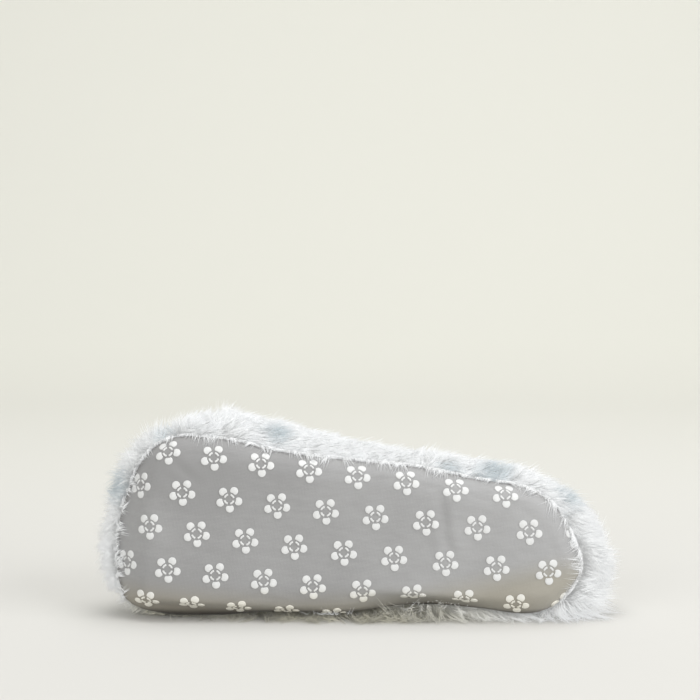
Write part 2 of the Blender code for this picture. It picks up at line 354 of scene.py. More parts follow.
# the padded sole, in the slipper's own axes and metres
soleCover = {
    # the seam entries give the painted shade under the fur's edge: heights, share and colour
    "voxel": 0.0045, "levels": 2, "thick": 0.0165, "seam": (0.006, 0.014), "seamShare": 0.55,
    "grey": (0.279, 0.278, 0.279, 1), "paleGrey": (0.398, 0.398, 0.402, 1),
    "seamShade": (0.065, 0.056, 0.046, 1), "bounceTint": (0.346, 0.323, 0.266, 1),
    "shadedBounceTint": (0.265, 0.238, 0.180, 1), "shadedBounceRange": (-0.05, -0.45, 0.7),  # tones, share: the painted floor bounce is darker under painted shade
    "bounceTop": {-0.12: 0.027, -0.06: 0.022, -0.03: 0.020, 0.03: 0.023, 0.11: 0.040},  # top of the painted warm floor bounce, from toe to heel
    "bounceDepth": 0.018, "bounceShare": 0.75,
    "contactShadow": (0.034, 0.028, 0.021, 1), "contactShadowRange": (0.0075, 0.0020, 0.95),  # painted contact shadow at the sole's foot: colour, then heights and share
}
soleWeave = {  # texture scales, and how much each one shows
    "thread": 0.00075, "nap": 2200.0, "cloud": 30.0, "streak": (90.0, 200.0, 420.0),
    "inColour": {"cloud": 0.8, "nap": 0.55, "weave": 0.3, "streak": 0.45}, "base": 0.46,
    "inBumps": {"weave": 0.5, "nap": 0.7, "streak": 0.6}, "bump": (0.4, 0.00022), "roughness": (0.84, 0.14),
}
solePadding = {"pressure": 4.0, "stiffness": 15.0, "frames": 20, "most": 0.0012, "inside": 0.0001}
soleWaves = {  # slow unevenness of the tread: height, then waves in radians a metre
    "height": 0.0003, "along": 47, "start": 1.3, "across": 83, "drift": 21,
    "smaller": 0.6, "smallAlong": 101, "smallAcross": 64,
}
soleCreases = {  # start along and across, end along and across, depth, half width
    "waistFold": (0.0800, 0.0290, 0.0755, 0.0060, 0.00075, 0.0028),
    "waistFoldFoot": (0.0755, 0.0060, 0.0705, -0.0040, 0.00045, 0.0030),
    "ballPinch": (0.2270, 0.0330, 0.2120, 0.0260, 0.00050, 0.0026),
    "ballPinchLow": (0.2290, 0.0270, 0.2150, 0.0205, 0.00035, 0.0030),
    "heelFold": (0.0500, -0.0230, 0.0130, -0.0080, 0.00080, 0.0040),
    "heelFoldLow": (0.0620, -0.0310, 0.0220, -0.0240, 0.00070, 0.0034),
}
creaseForm = {"ends": 0.12, "length": 0.76, "taper": 0.7, "lip": 0.45, "lipAway": 1.9}
soleSags = {  # middle along, half length, across from and to, shift across and up, hold at the seam
    "innerToe": (0.214, 0.056, -0.037, -0.047, 0.0036, 0.0078, 0.80),
    "innerBall": (0.160, 0.055, -0.036, -0.046, 0.0030, 0.0060, 0.60),
    "innerWaist": (0.076, 0.056, -0.0225, -0.036, 0.0068, 0.0095, 0.35),
    "toeCorner": (0.232, 0.032, 0.010, 0.038, 0.0048, 0.0, 0.0),
    "outerWaist": (0.100, 0.075, 0.015, 0.040, 0.0036, 0.0, 0.0),
    "outerHeel": (0.010, 0.055, 0.004, 0.028, 0.0068, 0.0, 0.0),
}
toeRoll = {"start": 0.234, "full": 0.262, "rise": 0.010, "hold": 0.85}
soleLightPatches = {  # painted light and shade on the cloth: along, across, radius, lighter or darker
    "toeTop": (0.217, 0.036, 0.034, -0.75),
    "toeMiddle": (0.228, -0.008, 0.030, 0.28),
    "ball": (0.155, -0.008, 0.060, -0.28),
    "lowBall": (0.150, -0.040, 0.030, -0.15),
    "lowToe": (0.222, -0.036, 0.032, -0.60),
    "heel": (0.025, 0.006, 0.045, 0.20),
    "lowHeel": (0.036, -0.030, 0.026, -0.40),
    "furShade": (0.168, 0.047, 0.013, -0.80),
}


def waves(along, across):
    slow = np.sin(along * soleWaves["along"] + soleWaves["start"])
    slow = slow * np.cos(across * soleWaves["across"] + along * soleWaves["drift"])
    small = np.sin(along * soleWaves["smallAlong"] + across * soleWaves["smallAcross"])
    return soleWaves["height"] * (slow + soleWaves["smaller"] * small)


def troughs(spots):  # each crease has a low lip on both sides
    dip = np.zeros(len(spots))
    for along, across, endAlong, endAcross, depth, half in soleCreases.values():
        first, last = np.array((along, across)), np.array((endAlong, endAcross))
        run = last - first
        share = np.clip((spots[:, :2] - first) @ run / (run @ run), 0, 1)
        off = np.linalg.norm(spots[:, :2] - first - share[:, None] * run, axis=1) / half
        fade = np.sin(math.pi * (creaseForm["ends"] + creaseForm["length"] * share)) ** creaseForm["taper"]
        lip = creaseForm["lip"] * np.exp(-((off - creaseForm["lipAway"]) ** 2))
        dip += depth * fade * (np.exp(-off**2) - lip)
    return dip


def sagged(spots):  # where the foam gives at the tread, and where its edge bulges
    spots = spots.copy()
    depth = np.clip(spots[:, 2] / soleCover["thick"], 0, 1)
    ceiling = np.maximum(spots[:, 2], soleCover["thick"])
    for middle, half, first, last, aside, rise, hold in soleSags.values():
        share = 1 - smoothStep(np.abs(spots[:, 0] - middle), 0, half)
        share = share * smoothStep(spots[:, 1], first, last) * (1 - hold * depth)
        spots[:, 1] += aside * share
        spots[:, 2] += rise * share
    spots[:, 2] = np.minimum(spots[:, 2], ceiling)  # the foot space stays free
    tip = smoothStep(spots[:, 0], toeRoll["start"], toeRoll["full"])
    spots[:, 2] += toeRoll["rise"] * tip * (1 - toeRoll["hold"] * depth)
    return spots


def keptNear(points, node, inside, outside):  # drawn back to within these distances of the solid
    solid = mergedCopy(node)
    tree = BVHTree.FromBMesh(solid)
    solid.free()
    kept = []
    for point in points:
        spot, facing, _, _ = tree.find_nearest(point)
        kept.append(spot + facing * min(max((point - spot).dot(facing), -inside), outside))
    return kept


def moveTo(shape, points):
    for vert, place in zip(shape.verts, points):
        vert.co = place


def soleCloth():
    material, start, shader = startMaterial("soleCloth", {"Specular IOR Level": 0.25, "Sheen Weight": 0.15})
    coords = start.coords()
    turn = {"Vector": coords, "Rotation": (0, -math.radians(lie["tilt"]), 0)}
    turned = start.node("ShaderNodeMapping", None, turn)
    pitch = 2 * math.pi / soleWeave["thread"] / 20  # a wave node's scale for this thread spacing
    threads = {"Vector": turned, "Scale": pitch, "Distortion": 1.2, "Detail": 1.0}
    warp = start.node("ShaderNodeTexWave", {"bands_direction": "X"}, threads)
    weft = start.node("ShaderNodeTexWave", {"bands_direction": "Z"}, threads)
    brushed = start.node("ShaderNodeMapping", None, {"Vector": turned, "Scale": soleWeave["streak"]})
    looks = {
        "nap": start.noise(coords, soleWeave["nap"], 3.0),
        "cloud": start.noise(coords, soleWeave["cloud"], 5.0, 0.62),
        "streak": start.noise(brushed, 1.0, 3.0),
        "weave": warp * weft,
    }
    # painted light and shade lighten or darken the cloth in patches
    shade = weighted(looks, soleWeave["inColour"]) + start.own("paintedLightShade") - soleWeave["base"]
    cloth = start.mix(shade, soleCover["grey"], soleCover["paleGrey"])
    bounceShade = start.ramp(start.own("paintedLightShade"), *soleCover["shadedBounceRange"])  # the painted floor bounce is darker where painted shade darkens the cloth
    bounceTint = start.mix(bounceShade, soleCover["bounceTint"], soleCover["shadedBounceTint"])
    bounceLit = start.mix(start.own("bounceLit"), cloth, bounceTint)
    # painted contact shadow: the cloth darkens towards the floor
    foot = start.ramp(start.axis(coords, 2), *soleCover["contactShadowRange"])
    contactShaded = start.mix(foot, bounceLit, soleCover["contactShadow"])
    # painted shade along the top of the sole's wall, under the fur's edge
    seam = start.own("seam") * soleCover["seamShare"]
    feed(start, shader, "Base Color", start.mix(seam, contactShaded, soleCover["seamShade"]))
    feed(start, shader, "Normal", start.bump(weighted(looks, soleWeave["inBumps"]), *soleWeave["bump"]))
    least, more = soleWeave["roughness"]
    feed(start, shader, "Roughness", least + looks["nap"] * more)
    return material


def makeSole():
    solid = mergedCopy("outsole")
    skin = evenMesh(solid, "soleCover", soleCover["voxel"], solePadding, soleCover["levels"])
    swollen = [v.co.copy() for v in skin.verts]
    moveTo(skin, keptNear(swollen, "outsole", solePadding["inside"], solePadding["most"]))
    bmesh.ops.recalc_face_normals(skin, faces=skin.faces)
    skin.normal_update()
    points = np.array([v.co for v in skin.verts])
    normals = np.array([v.normal for v in skin.verts])
    spots = toShoe(points)
    facing = np.clip(-(normals @ shoeAxes[:, 2]), 0, 1)  # 1 where the tread faces out
    along, across = spots[:, 0], spots[:, 1]
    shift = (waves(along, across) - troughs(spots)) * facing
    points = toWorld(sagged(toShoe(points + normals * shift[:, None])))
    points[:, 2] = np.maximum(points[:, 2], 0.0)
    moveTo(skin, points)
    mesh = meshFromShape("soleCover", skin)
    # painted light and shade, summed from round patches
    paintedLightShade = np.zeros(len(spots))
    for middle, level, radius, strength in soleLightPatches.values():
        paintedLightShade += strength * np.exp(-((along - middle) ** 2 + (across - level) ** 2) / radius**2)
    # painted warm light bounced from the floor, strongest low on the sole
    below = follow(points[:, 0], soleCover["bounceTop"]) - points[:, 2]
    bounceLit = soleCover["bounceShare"] * smoothStep(below, 0, soleCover["bounceDepth"])
    # painted shade near the seam, where the fur overhangs the sole
    seam = smoothStep(spots[:, 2], *soleCover["seam"])
    keepOnPoints(mesh, {"paintedLightShade": paintedLightShade, "bounceLit": bounceLit, "seam": seam})
    made = addObject("soleCover", mesh, soleCloth(), "outsole")
    print("sole", len(mesh.polygons), "faces")
    return made


# white rubber flowers printed on the tread
gripFlower = {
    "petals": 5, "petalReach": 0.00512, "petalRadius": 0.00222, "firstPetal": -77.0, "sides": 16,
    "arcs": 4, "arcInner": 0.00200, "arcOuter": 0.00305, "arcSpan": 60.0, "firstArc": 52.0, "arcSteps": 4,
    "eye": 0.00370, "height": 0.00048, "sunk": 0.0004, "edge": 0.00026, "wallEnd": 0.0125,
    "white": (0.730, 0.735, 0.735, 1), "shadeWhite": (0.600, 0.605, 0.605, 1),
    "bounceLitWhite": (0.80, 0.775, 0.69, 1), "bounceRange": (0.022, 0.008, 0.9),  # heights, share of painted warm floor bounce on the lower flowers
    "mottle": 420.0, "pores": 1800.0, "bump": (0.2, 0.0001), "roughness": (0.45, 0.25),
}
gripRows = {  # toe to heel, millimetres: count, first along, pitch, its growth, then across in the same way
    "outer": (8, 229.6, -25.3, -0.15, 42.6, -1.30, 0.005),
    "second": (10, 244.8, -24.9, -0.23, 22.8, -1.90, 0.11),
    "middle": (9, 236.2, -25.9, -0.16, 1.2, -1.90, 0.12),
    "fourth": (10, 250.0, -25.4, -0.19, -20.0, -1.30, 0.06),
    "inner": (9, 235.5, -25.1, -0.17, -40.9, -0.70, -0.03),
}
gripMiddle = (40, 205)  # ends of the middle line that flowers are set out from, millimetres from the heel


def flatFlower():
    plate = bmesh.new()
    for petal in range(gripFlower["petals"]):
        turn = math.radians(gripFlower["firstPetal"] + 360 / gripFlower["petals"] * petal)
        middle = Vector((math.cos(turn), math.sin(turn), 0)) * gripFlower["petalReach"]
        size = {"segments": gripFlower["sides"], "radius": gripFlower["petalRadius"]}
        disc = bmesh.ops.create_circle(plate, cap_ends=True, matrix=Matrix.Translation(middle), **size)
        for vert in disc["verts"]:  # the round eye bites into each petal
            vert.co *= max(1, gripFlower["eye"] / vert.co.length)
    span = math.radians(gripFlower["arcSpan"])
    for arc in range(gripFlower["arcs"]):
        turn = math.radians(gripFlower["firstArc"] + 360 / gripFlower["arcs"] * arc) - span / 2
        way = Vector((math.cos(turn), math.sin(turn), 0))
        ends = [plate.verts.new(way * gripFlower[name]) for name in ("arcInner", "arcOuter")]
        drawn = ends + [plate.edges.new(ends)]
        bmesh.ops.spin(plate, geom=drawn, axis=(0, 0, 1), angle=span, steps=gripFlower["arcSteps"])
    bmesh.ops.remove_doubles(plate, verts=plate.verts, dist=1e-6)
    bmesh.ops.recalc_face_normals(plate, faces=plate.faces)
    bmesh.ops.reverse_faces(plate, faces=[f for f in plate.faces if f.normal.z < 0])
    return plate


def flowerTemplate():  # raised, with a rounded rim: its points and triangles
    plate = flatFlower()
    raised = bmesh.ops.extrude_face_region(plate, geom=plate.faces[:], use_keep_orig=True)
    top = set(newVerts(raised))
    bmesh.ops.translate(plate, verts=list(top), vec=(0, 0, gripFlower["height"] + gripFlower["sunk"]))
    bmesh.ops.recalc_face_normals(plate, faces=plate.faces)
    tops = [e for e in plate.edges if top.issuperset(e.verts)]
    rims = [e for e in tops if any(abs(f.normal.z) < 0.5 for f in e.link_faces)]
    rounded = {"offset": gripFlower["edge"], "offset_type": "OFFSET", "affect": "EDGES"}
    bmesh.ops.bevel(plate, geom=rims, segments=2, profile=0.5, material=-1, **rounded)
    bmesh.ops.triangulate(plate, faces=plate.faces)
    bmesh.ops.recalc_face_normals(plate, faces=plate.faces)
    plate.verts.index_update()
    points = np.array([v.co for v in plate.verts])
    corners = np.array([[v.index for v in f.verts] for f in plate.faces])
    plate.free()
    return points, corners


def walk(skin, spot, facing, heading, distance, stride=0.0013):  # a straight line drawn on the curved sole
    steps = max(1, math.ceil(distance / stride))
    for _ in range(steps):
        heading = (heading - facing * heading.dot(facing)).normalized()
        spot, facing, _, _ = skin.find_nearest(spot + heading * (distance / steps))
    return spot, facing


def gripPlaces():  # along, across and the way that the row runs
    for count, first, pitch, growth, level, slope, bow in gripRows.values():
        for place in range(count):
            along = first + pitch * place + growth * place * place
            across = level + slope * place + bow * place * place
            yield along, across, (toeward * pitch + outerward * slope).normalized()


def gripRubber():
    material, start, shader = startMaterial("gripRubber", {"Specular IOR Level": 0.4})
    coords = start.coords()
    mottle = start.noise(coords, gripFlower["mottle"], 3.0)
    pores = start.noise(coords, gripFlower["pores"], 2.0)
    clean = start.mix(mottle, gripFlower["shadeWhite"], gripFlower["white"])
    # painted warm light bounced from the floor onto the lower flowers
    bounceLit = start.ramp(start.axis(coords, 2), *gripFlower["bounceRange"])
    feed(start, shader, "Base Color", start.mix(bounceLit, clean, gripFlower["bounceLitWhite"]))
    feed(start, shader, "Normal", start.bump(pores, *gripFlower["bump"]))
    least, more = gripFlower["roughness"]
    feed(start, shader, "Roughness", least + pores * more)
    return material


def makeGrips(sole):
    skin = surfaceOf(sole)
    template, corners = flowerTemplate()
    allPoints, allCorners, flowers = [], [], 0
    for along, across, rowWay in gripPlaces():
        begin = min(max(along, gripMiddle[0]), gripMiddle[1])
        spot, facing, _, _ = skin.find_nearest(Vector(toWorld((begin / 1000, 0, 0))))
        away = toeward * (along - begin) + outerward * across
        spot, facing = walk(skin, spot, facing, away, away.length / 1000)
        if toShoe(spot)[2] > gripFlower["wallEnd"]:  # past the seam
            continue
        rowWay = (rowWay - facing * rowWay.dot(facing)).normalized()
        upWay = rowWay.cross(-facing).normalized()
        if upWay.dot(outerward) < 0:
            upWay = -upWay
        for u, v, rise in template:
            there, out = walk(skin, spot, facing, rowWay * u + upWay * v, math.hypot(u, v))
            allPoints.append(there + out * (rise - gripFlower["sunk"]))
        allCorners.append(corners + flowers * len(template))
        flowers += 1
    mesh = meshFromArrays("gripFlowers", np.array(allPoints), np.vstack(allCorners))
    addObject("gripFlowers", mesh, gripRubber())
    print("grips", flowers, "flowers", len(mesh.polygons), "faces")


# a soft backing under the fur, which keeps the solid's form, and the plush that lines the foot space
furBacking = {
    "iron": 26, "regain": 0.016, "sink": 0.0062, "floorGap": 0.0012, "lip": 3, "collarFrom": 0.050,
    "spaceAlong": (0.028, 0.205), "spaceMiddle": (0.0, 0.040), "skinGap": 0.0004, "rayGap": 0.0005,
    "cutSmooth": 0.4, "soften": 2, "colour": (0.74, 0.74, 0.735, 1),
}
liningPlush = {
    "seed": 5, "hairs": 13000, "length": 0.0050, "width": 0.00022,
    "white": (0.80, 0.80, 0.795, 1), "root": (0.62, 0.62, 0.61, 1), "glow": 0.28,
}
plushWeave = {"tuft": (340.0, 4.0, 0.65), "curl": (900.0, 3.0), "curlShare": 0.5, "bump": (0.8, 0.0012)}
floorShade = (0.002, 0.036)  # fur and plush go from shaded to lit between these heights


def innerAxis(points):  # middle of the foot space, nearest to each point
    spots = toShoe(points)
    spots[:, 0] = np.clip(spots[:, 0], *furBacking["spaceAlong"])
    spots[:, 1:] = furBacking["spaceMiddle"]
    return toWorld(spots)


def outerSide(shell):  # the points that the fur grows on, with the collar's lip
    tree = BVHTree.FromBMesh(shell)
    outer = set()
    for vert, middle in zip(shell.verts, innerAxis([v.co for v in shell.verts])):
        way = Vector(middle) - vert.co
        start = vert.co + way.normalized() * furBacking["skinGap"]
        if tree.ray_cast(start, way, way.length - furBacking["rayGap"])[0] is not None:
            outer.add(vert)
    for _ in range(furBacking["lip"]):
        beside = {e.other_vert(v) for v in outer for e in v.link_edges}
        outer |= {v for v in beside if toShoe(v.co)[2] > furBacking["collarFrom"]}
    return [v for v in shell.verts if v in outer]


everyAxis = {"use_axis_x": True, "use_axis_y": True, "use_axis_z": True}


def smoothed(shape, verts, rounds):
    for _ in range(rounds):
        bmesh.ops.smooth_vert(shape, verts=verts, factor=0.5, **everyAxis)


def treeOf(points):
    tree = KDTree(len(points))
    for index, point in enumerate(points):
        tree.insert(point, index)
    tree.balance()
    return tree


def ironed(shell, outer):  # the solid's locks are smoothed away, and its larger form is kept
    before = np.array([v.co for v in outer])
    smoothed(shell, outer, furBacking["iron"])
    drawn = np.array([v.co for v in outer]) - before
    tree = treeOf([v.co for v in outer])
    for vert, near in [(v, tree.find_range(v.co, furBacking["regain"])) for v in outer]:
        vert.co -= Vector(drawn[[index for _, index, _ in near]].mean(0))


def plushCloth(name, dark, pale, glow):
    settings = {"Roughness": 0.95, "Specular IOR Level": 0.15, "Emission Strength": glow}
    material, start, shader = startMaterial(name, settings)
    coords = start.coords()
    tuft = start.noise(coords, *plushWeave["tuft"])
    curl = start.noise(coords, *plushWeave["curl"])
    colour = start.mix(tuft, dark, pale)
    feed(start, shader, "Base Color", colour)
    feed(start, shader, "Normal", start.bump(tuft + curl * plushWeave["curlShare"], *plushWeave["bump"]))
    # painted glow, fading out towards the floor, in place of light scattered through the plush
    lit = start.ramp(start.axis(coords, 2), *floorShade)
    feed(start, shader, "Emission Color", start.mix(lit, black, colour))
    return material


def liningCloth(name):
    return plushCloth(name, liningPlush["root"], liningPlush["white"], liningPlush["glow"])


def makeBacking():
    shell = mergedCopy("upper")
    layer = shell.verts.layers.float.new("outer")
    outer = outerSide(shell)
    ironed(shell, outer)
    shell.normal_update()
    for vert in outer:
        vert[layer] = 1.0
        vert.co -= vert.normal * furBacking["sink"]
        vert.co.z = max(vert.co.z, furBacking["floorGap"])
    finer = {"cuts": 1, "use_grid_fill": True, "smooth": furBacking["cutSmooth"]}
    bmesh.ops.subdivide_edges(shell, edges=shell.edges, **finer)
    smoothed(shell, [v for v in shell.verts if v[layer] > 0.9], furBacking["soften"])
    bmesh.ops.triangulate(shell, faces=shell.faces)
    for face in shell.faces:  # 0 outside, 1 for the lining
        face.material_index = 0 if sum(v[layer] for v in face.verts) > 1.5 else 1
    mesh = meshFromShape("furBacking", shell)
    ground = plushCloth("furBacking", furCoat["root"], furBacking["colour"], furCoat["glow"])
    made = addObject("furBacking", mesh, [ground, liningCloth("lining")], "upper")
    print("backing", len(mesh.polygons), "faces")
    return made


# single hairs, for the fur and for the short plush
hairForm = {"lower": 0.55, "upper": 0.45, "widths": (0.7, 1.2)}  # shares before and past the bend
hairStop = {"bend": 0.6, "end": 0.9, "tip": 0.85}  # shares of the way to the sole
floorSlide = 0.3  # how far a hair on the floor turns to the fur's lay


def scatter(mesh, faceSet, count, rng, weight=None):  # even random roots on some faces: places and normals
    points = places(mesh)
    facings = np.array([v.normal for v in mesh.vertices])
    corners = np.array([mesh.polygons[i].vertices[:3] for i in faceSet])
    a, b, c = (points[corners[:, k]] for k in range(3))
    area = np.linalg.norm(np.cross(b - a, c - a), axis=1)
    if weight is not None:
        area = area * weight((a + b + c) / 3)
    chosen = rng.choice(len(corners), count, p=area / area.sum())
    s, t = rng.random(count), rng.random(count)
    fold = s + t > 1
    s[fold], t[fold] = 1 - s[fold], 1 - t[fold]
    shares = np.column_stack([1 - s - t, s, t])[:, :, None]
    triple = corners[chosen]
    return (points[triple] * shares).sum(1), unit((facings[triple] * shares).sum(1))


def nearestLeader(roots, leaders):
    tree = treeOf(leaders)
    return np.array([tree.find(root)[1] for root in roots])


def hairMesh(name, roots, middles, tips, widths, numbers, rng):  # each hair is two slim cones, root and tip
    axis = unit(tips - roots)
    side = unit(np.cross(axis, rng.normal(size=axis.shape)))
    other = np.cross(axis, side)
    along = (0.0, 0.5, 0.5, 0.5, 1.0)  # five points: root, three round the bend, tip
    points = np.empty((len(roots), len(along), 3))
    points[:, 0], points[:, 4] = roots, tips
    for corner in range(3):
        turn = 2 * math.pi * corner / 3
        outward = side * math.cos(turn) + other * math.sin(turn)
        points[:, 1 + corner] = middles + outward * widths[:, None]
    pattern = np.array([(0, 2, 1), (0, 3, 2), (0, 1, 3), (1, 2, 4), (2, 3, 4), (3, 1, 4)])
    corners = (np.arange(len(roots)) * len(along))[:, None, None] + pattern
    mesh = meshFromArrays(name, points.reshape(-1, 3), corners.reshape(-1, 3))
    keepOnPoints(mesh, {label: np.repeat(values, len(along)) for label, values in numbers.items()})
    keepOnPoints(mesh, {"along": np.tile(along, len(roots))})
    return mesh


def stoppedBy(skin, chosen, roots, middles, tips):  # these hairs end before they would enter the sole
    for index in chosen:
        first, second = Vector(middles[index] - roots[index]), Vector(tips[index] - middles[index])
        hit = skin.ray_cast(Vector(roots[index]), first.normalized(), first.length)[3]
        if hit is not None:
            middles[index] = roots[index] + np.array(first.normalized()) * hit * hairStop["bend"]
            tips[index] = roots[index] + np.array(first.normalized()) * hit * hairStop["end"]
            continue
        hit = skin.ray_cast(Vector(middles[index]), second.normalized(), second.length)[3]
        if hit is not None:
            tips[index] = middles[index] + np.array(second.normalized()) * hit * hairStop["tip"]


def onFloor(first, last, clearance, fallback):  # a hair bends along the floor and keeps its length
    step = last - first
    length = np.linalg.norm(step, axis=1)
    height = np.maximum(last[:, 2], clearance)
    low = last[:, 2] < clearance
    flat = step[:, :2] + fallback[:, :2] * floorSlide * length[:, None]
    reach = np.sqrt(np.maximum(length**2 - (height - first[:, 2]) ** 2, 1e-10))
    bent = np.column_stack([first[:, :2] + unit(flat) * reach[:, None], height])
    return np.where(low[:, None], bent, last)


# deep fur, standing in tufts, locks and wider swells (metres, degrees)
furCoat = {
    "seed": 23, "hairs": 104000, "swells": 150, "locks": 520, "tufts": 6500,
    "length": 0.0165, "width": 0.00016,
    "pile": {0.0: 1.12, 0.03: 1.0, 0.06: 0.80, 0.10: 0.70, 0.14: 0.80, 0.18: 0.92, 0.215: 1.06, 0.255: 0.95},
    "vary": (0.65, 1.15), "varySwell": (0.86, 1.12), "varyLock": (0.92, 1.10),
    "lift": 30.0, "toeLift": 12.0, "rimLift": 18.0, "liftSpread": 9, "stray": 0.12,
    "toeTurn": (0.190, 0.245), "heelward": (0.90, -0.25),  # the toe's fur parts forward
    "rim": (0.018, 0.040), "soleward": (-0.30, 0.15),  # away from the sole at its edge
    "hang": 0.12, "lockSway": 0.26, "tuftSway": 0.27, "curl": 0.55, "droop": 0.12,
    "pull": (0.18, 0.5), "pullMiddle": 0.35,  # hairs of a tuft end together
    "pressed": (0.006, 0.45),  # fewer hairs under this height
    "clearance": 0.0003, "clearanceMore": 0.0012, "floorEdge": -0.0575, "floorRagged": 0.006,
    "soleNear": 0.035,
    "lowToe": {"less": 0.45, "along": (0.20, 0.25), "height": (0.010, 0.035)},  # shorter there
    "white": (0.690, 0.700, 0.712, 1), "root": (0.650, 0.655, 0.650, 1), "spot": (0.27, 0.34, 0.375, 1),
    "shadow": (0.14, 0.128, 0.098, 1), "warmShade": (0.74, 0.708, 0.545, 1), "glow": 0.42,
}
furUnder = {  # between the sole and the floor, hairs point out from under it
    "height": (0.004, 0.020), "beside": (0.020, 0.045), "end": (0.205, 0.228),
    "droop": (0.15, 0.25), "sway": 0.8, "longer": 1.4, "pull": 0.25, "oneTone": 0.7,
}
furLight = {  # how free of its neighbours' shade a hair is, by its height and place
    "ends": {-0.13: 0.020, -0.10: 0.0, 0.0: 0.0, 0.08: 0.022, 0.13: 0.040},  # light reaches under both ends
    "behind": (0.035, 0.065), "least": 0.22, "moreBehind": 0.48,  # the far side dims less at the floor
    "dimEnds": {-0.14: 0.97, -0.09: 1.0, 0.08: 1.0, 0.14: 0.99},  # both ends are a little dimmer
}
furTint = {  # how a hair changes from its root to its tip, and from hair to hair
    "paleAlong": 0.75, "paleTone": 0.25, "spotRoot": 0.2, "spotAlong": 0.8, "litRoot": 0.7, "litAlong": 0.3,
    "shadeCurve": 0.5, "roughness": (0.65, 0.2),
}
furSpots = {  # blue-grey dapples along the seam: place in millimetres, radius
    "vampFront": (-38, -25, 103, 8),
    "waist": (55, -32, 86, 8),
    "quarter": (80, -26, 81, 10),
    "heelOuter": (123, -20, 64, 9),
    "toeSide": (-135, -22, 72, 10),
    "toeCorner": (-104, -24, 100, 9),
}
moreSpots = {"tries": 500, "gap": 0.034, "above": 0.050, "radius": (0.006, 0.010)}  # on the hidden sides
spotForm = {"fade": 1.35, "vary": (0.6, 1.0)}
shadedTufts = {  # painted shade where the fur parts under the sole: place in millimetres, radius
    "toe": (-82, -44, 3, 24),
    "ballToe": (-52, -44, 3, 13),
    "ballMiddle": (-22, -46, 4, 11),
    "ball": (5, -46, 5, 9),
    "waist": (38, -47, 5, 9),
}
tuftShadeShare = 0.94  # how deep the painted shade is at their middles
furPieces = ("furToe", "furVamp", "furQuarter", "furHeel")  # a quarter of the hairs each


def furMaterial():
    settings = {"Specular IOR Level": 0.25, "Sheen Weight": 0.3, "Emission Strength": furCoat["glow"]}
    material, start, shader = startMaterial("furHair", settings)
    along, spot, tone, free = (start.own(label) for label in ("along", "spot", "tone", "free"))
    pale = along * furTint["paleAlong"] + tone * furTint["paleTone"]
    bright = start.mix(pale, furCoat["root"], furCoat["white"])
    # painted shade on hairs shaded by their neighbours: from a dark shadow to a warm floor-lit tone
    shaded = start.mix(tone ** furTint["shadeCurve"], furCoat["shadow"], furCoat["warmShade"])
    shaft = start.mix(free, shaded, bright)
    dapple = spot * (along * furTint["spotAlong"] + furTint["spotRoot"])
    colour = start.mix(dapple, shaft, furCoat["spot"])
    feed(start, shader, "Base Color", colour)
    least, more = furTint["roughness"]
    feed(start, shader, "Roughness", least + tone * more)
    through = free * (along * furTint["litAlong"] + furTint["litRoot"])  # painted glow, standing in for light that real hairs let through
    feed(start, shader, "Emission Color", start.mix(through, black, colour))
    return material


def nearness(points, spots):  # 1 near the middle of a round spot, fading to 0 a little past its edge
    centres = np.array([spot[:3] for spot in spots])
    radii = np.array([spot[3] for spot in spots])
    away = np.linalg.norm(points[:, None] - centres, axis=2) / radii
    return np.clip(spotForm["fade"] - away, 0, 1).max(1)


def allSpots(roots, rng):  # the dapples that the photograph shows, and others like them on the far sides
    spots = metres(furSpots)
    for place in roots[rng.permutation(len(roots))[: moreSpots["tries"]]]:
        clear = min(np.linalg.norm(place - spot[:3]) for spot in spots) > moreSpots["gap"]
        if clear and toShoe(place)[2] > moreSpots["above"]:
            spots.append(np.append(place, rng.uniform(*moreSpots["radius"])))
    return spots


def pressedShare(middles):  # fewer hairs where the fur is pressed on the floor
    height, share = furCoat["pressed"]
    return np.where(middles[:, 2] < height, share, 1.0)


def combFur(roots, facings, sway, rng):  # which way hairs stand and lie, and how far they are under the sole
    soleward, down = -shoeAxes[:, 2], np.array((0, 0, -1))
    spots = toShoe(roots)
    overRim = np.interp(spots[:, 2], furCoat["rim"], furCoat["soleward"])[:, None]
    swept = np.interp(spots[:, 0], furCoat["toeTurn"], furCoat["heelward"])[:, None]
    lay = -shoeAxes[:, 0] * swept + soleward * overRim + down * furCoat["hang"] + sway
    lay = unit(lay - facings * (lay * facings).sum(1, keepdims=True))
    lift = furCoat["lift"] + furCoat["toeLift"] * smoothStep(spots[:, 0], *furCoat["toeTurn"])
    lift = lift + furCoat["rimLift"] * (1 - smoothStep(spots[:, 2], *furCoat["rim"]))
    lift = np.radians(lift + rng.normal(scale=furCoat["liftSpread"], size=len(roots)))[:, None]
    stray = rng.normal(scale=furCoat["stray"], size=roots.shape)
    way = unit(facings * np.sin(lift) + lay * np.cos(lift) + stray)
    under = 1 - smoothStep(roots[:, 2], *furUnder["height"])
    under *= 1 - smoothStep(spots[:, 2], *furUnder["beside"])
    under *= 1 - smoothStep(spots[:, 0], *furUnder["end"])
    droop = rng.normal(*furUnder["droop"], (len(roots), 1))
    forward = unit(soleward + down * droop + furUnder["sway"] * sway)
    return unit(way + (forward - way) * under[:, None]), lay, under


def furLengths(roots, under, swellOf, lockOf, rng):
    spots, lowToe = toShoe(roots), furCoat["lowToe"]
    lengths = furCoat["length"] * follow(spots[:, 0], furCoat["pile"]) ** (1 - under)
    lengths *= rng.uniform(*furCoat["vary"], len(roots)) * (1 + furUnder["longer"] * under)
    low = 1 - smoothStep(roots[:, 2], *lowToe["height"])
    lengths *= 1 - lowToe["less"] * smoothStep(spots[:, 0], *lowToe["along"]) * low
    swellSize = rng.uniform(*furCoat["varySwell"], furCoat["swells"])[swellOf]
    lockSize = rng.uniform(*furCoat["varyLock"], furCoat["locks"])[lockOf]
    return lengths * (swellSize * lockSize)


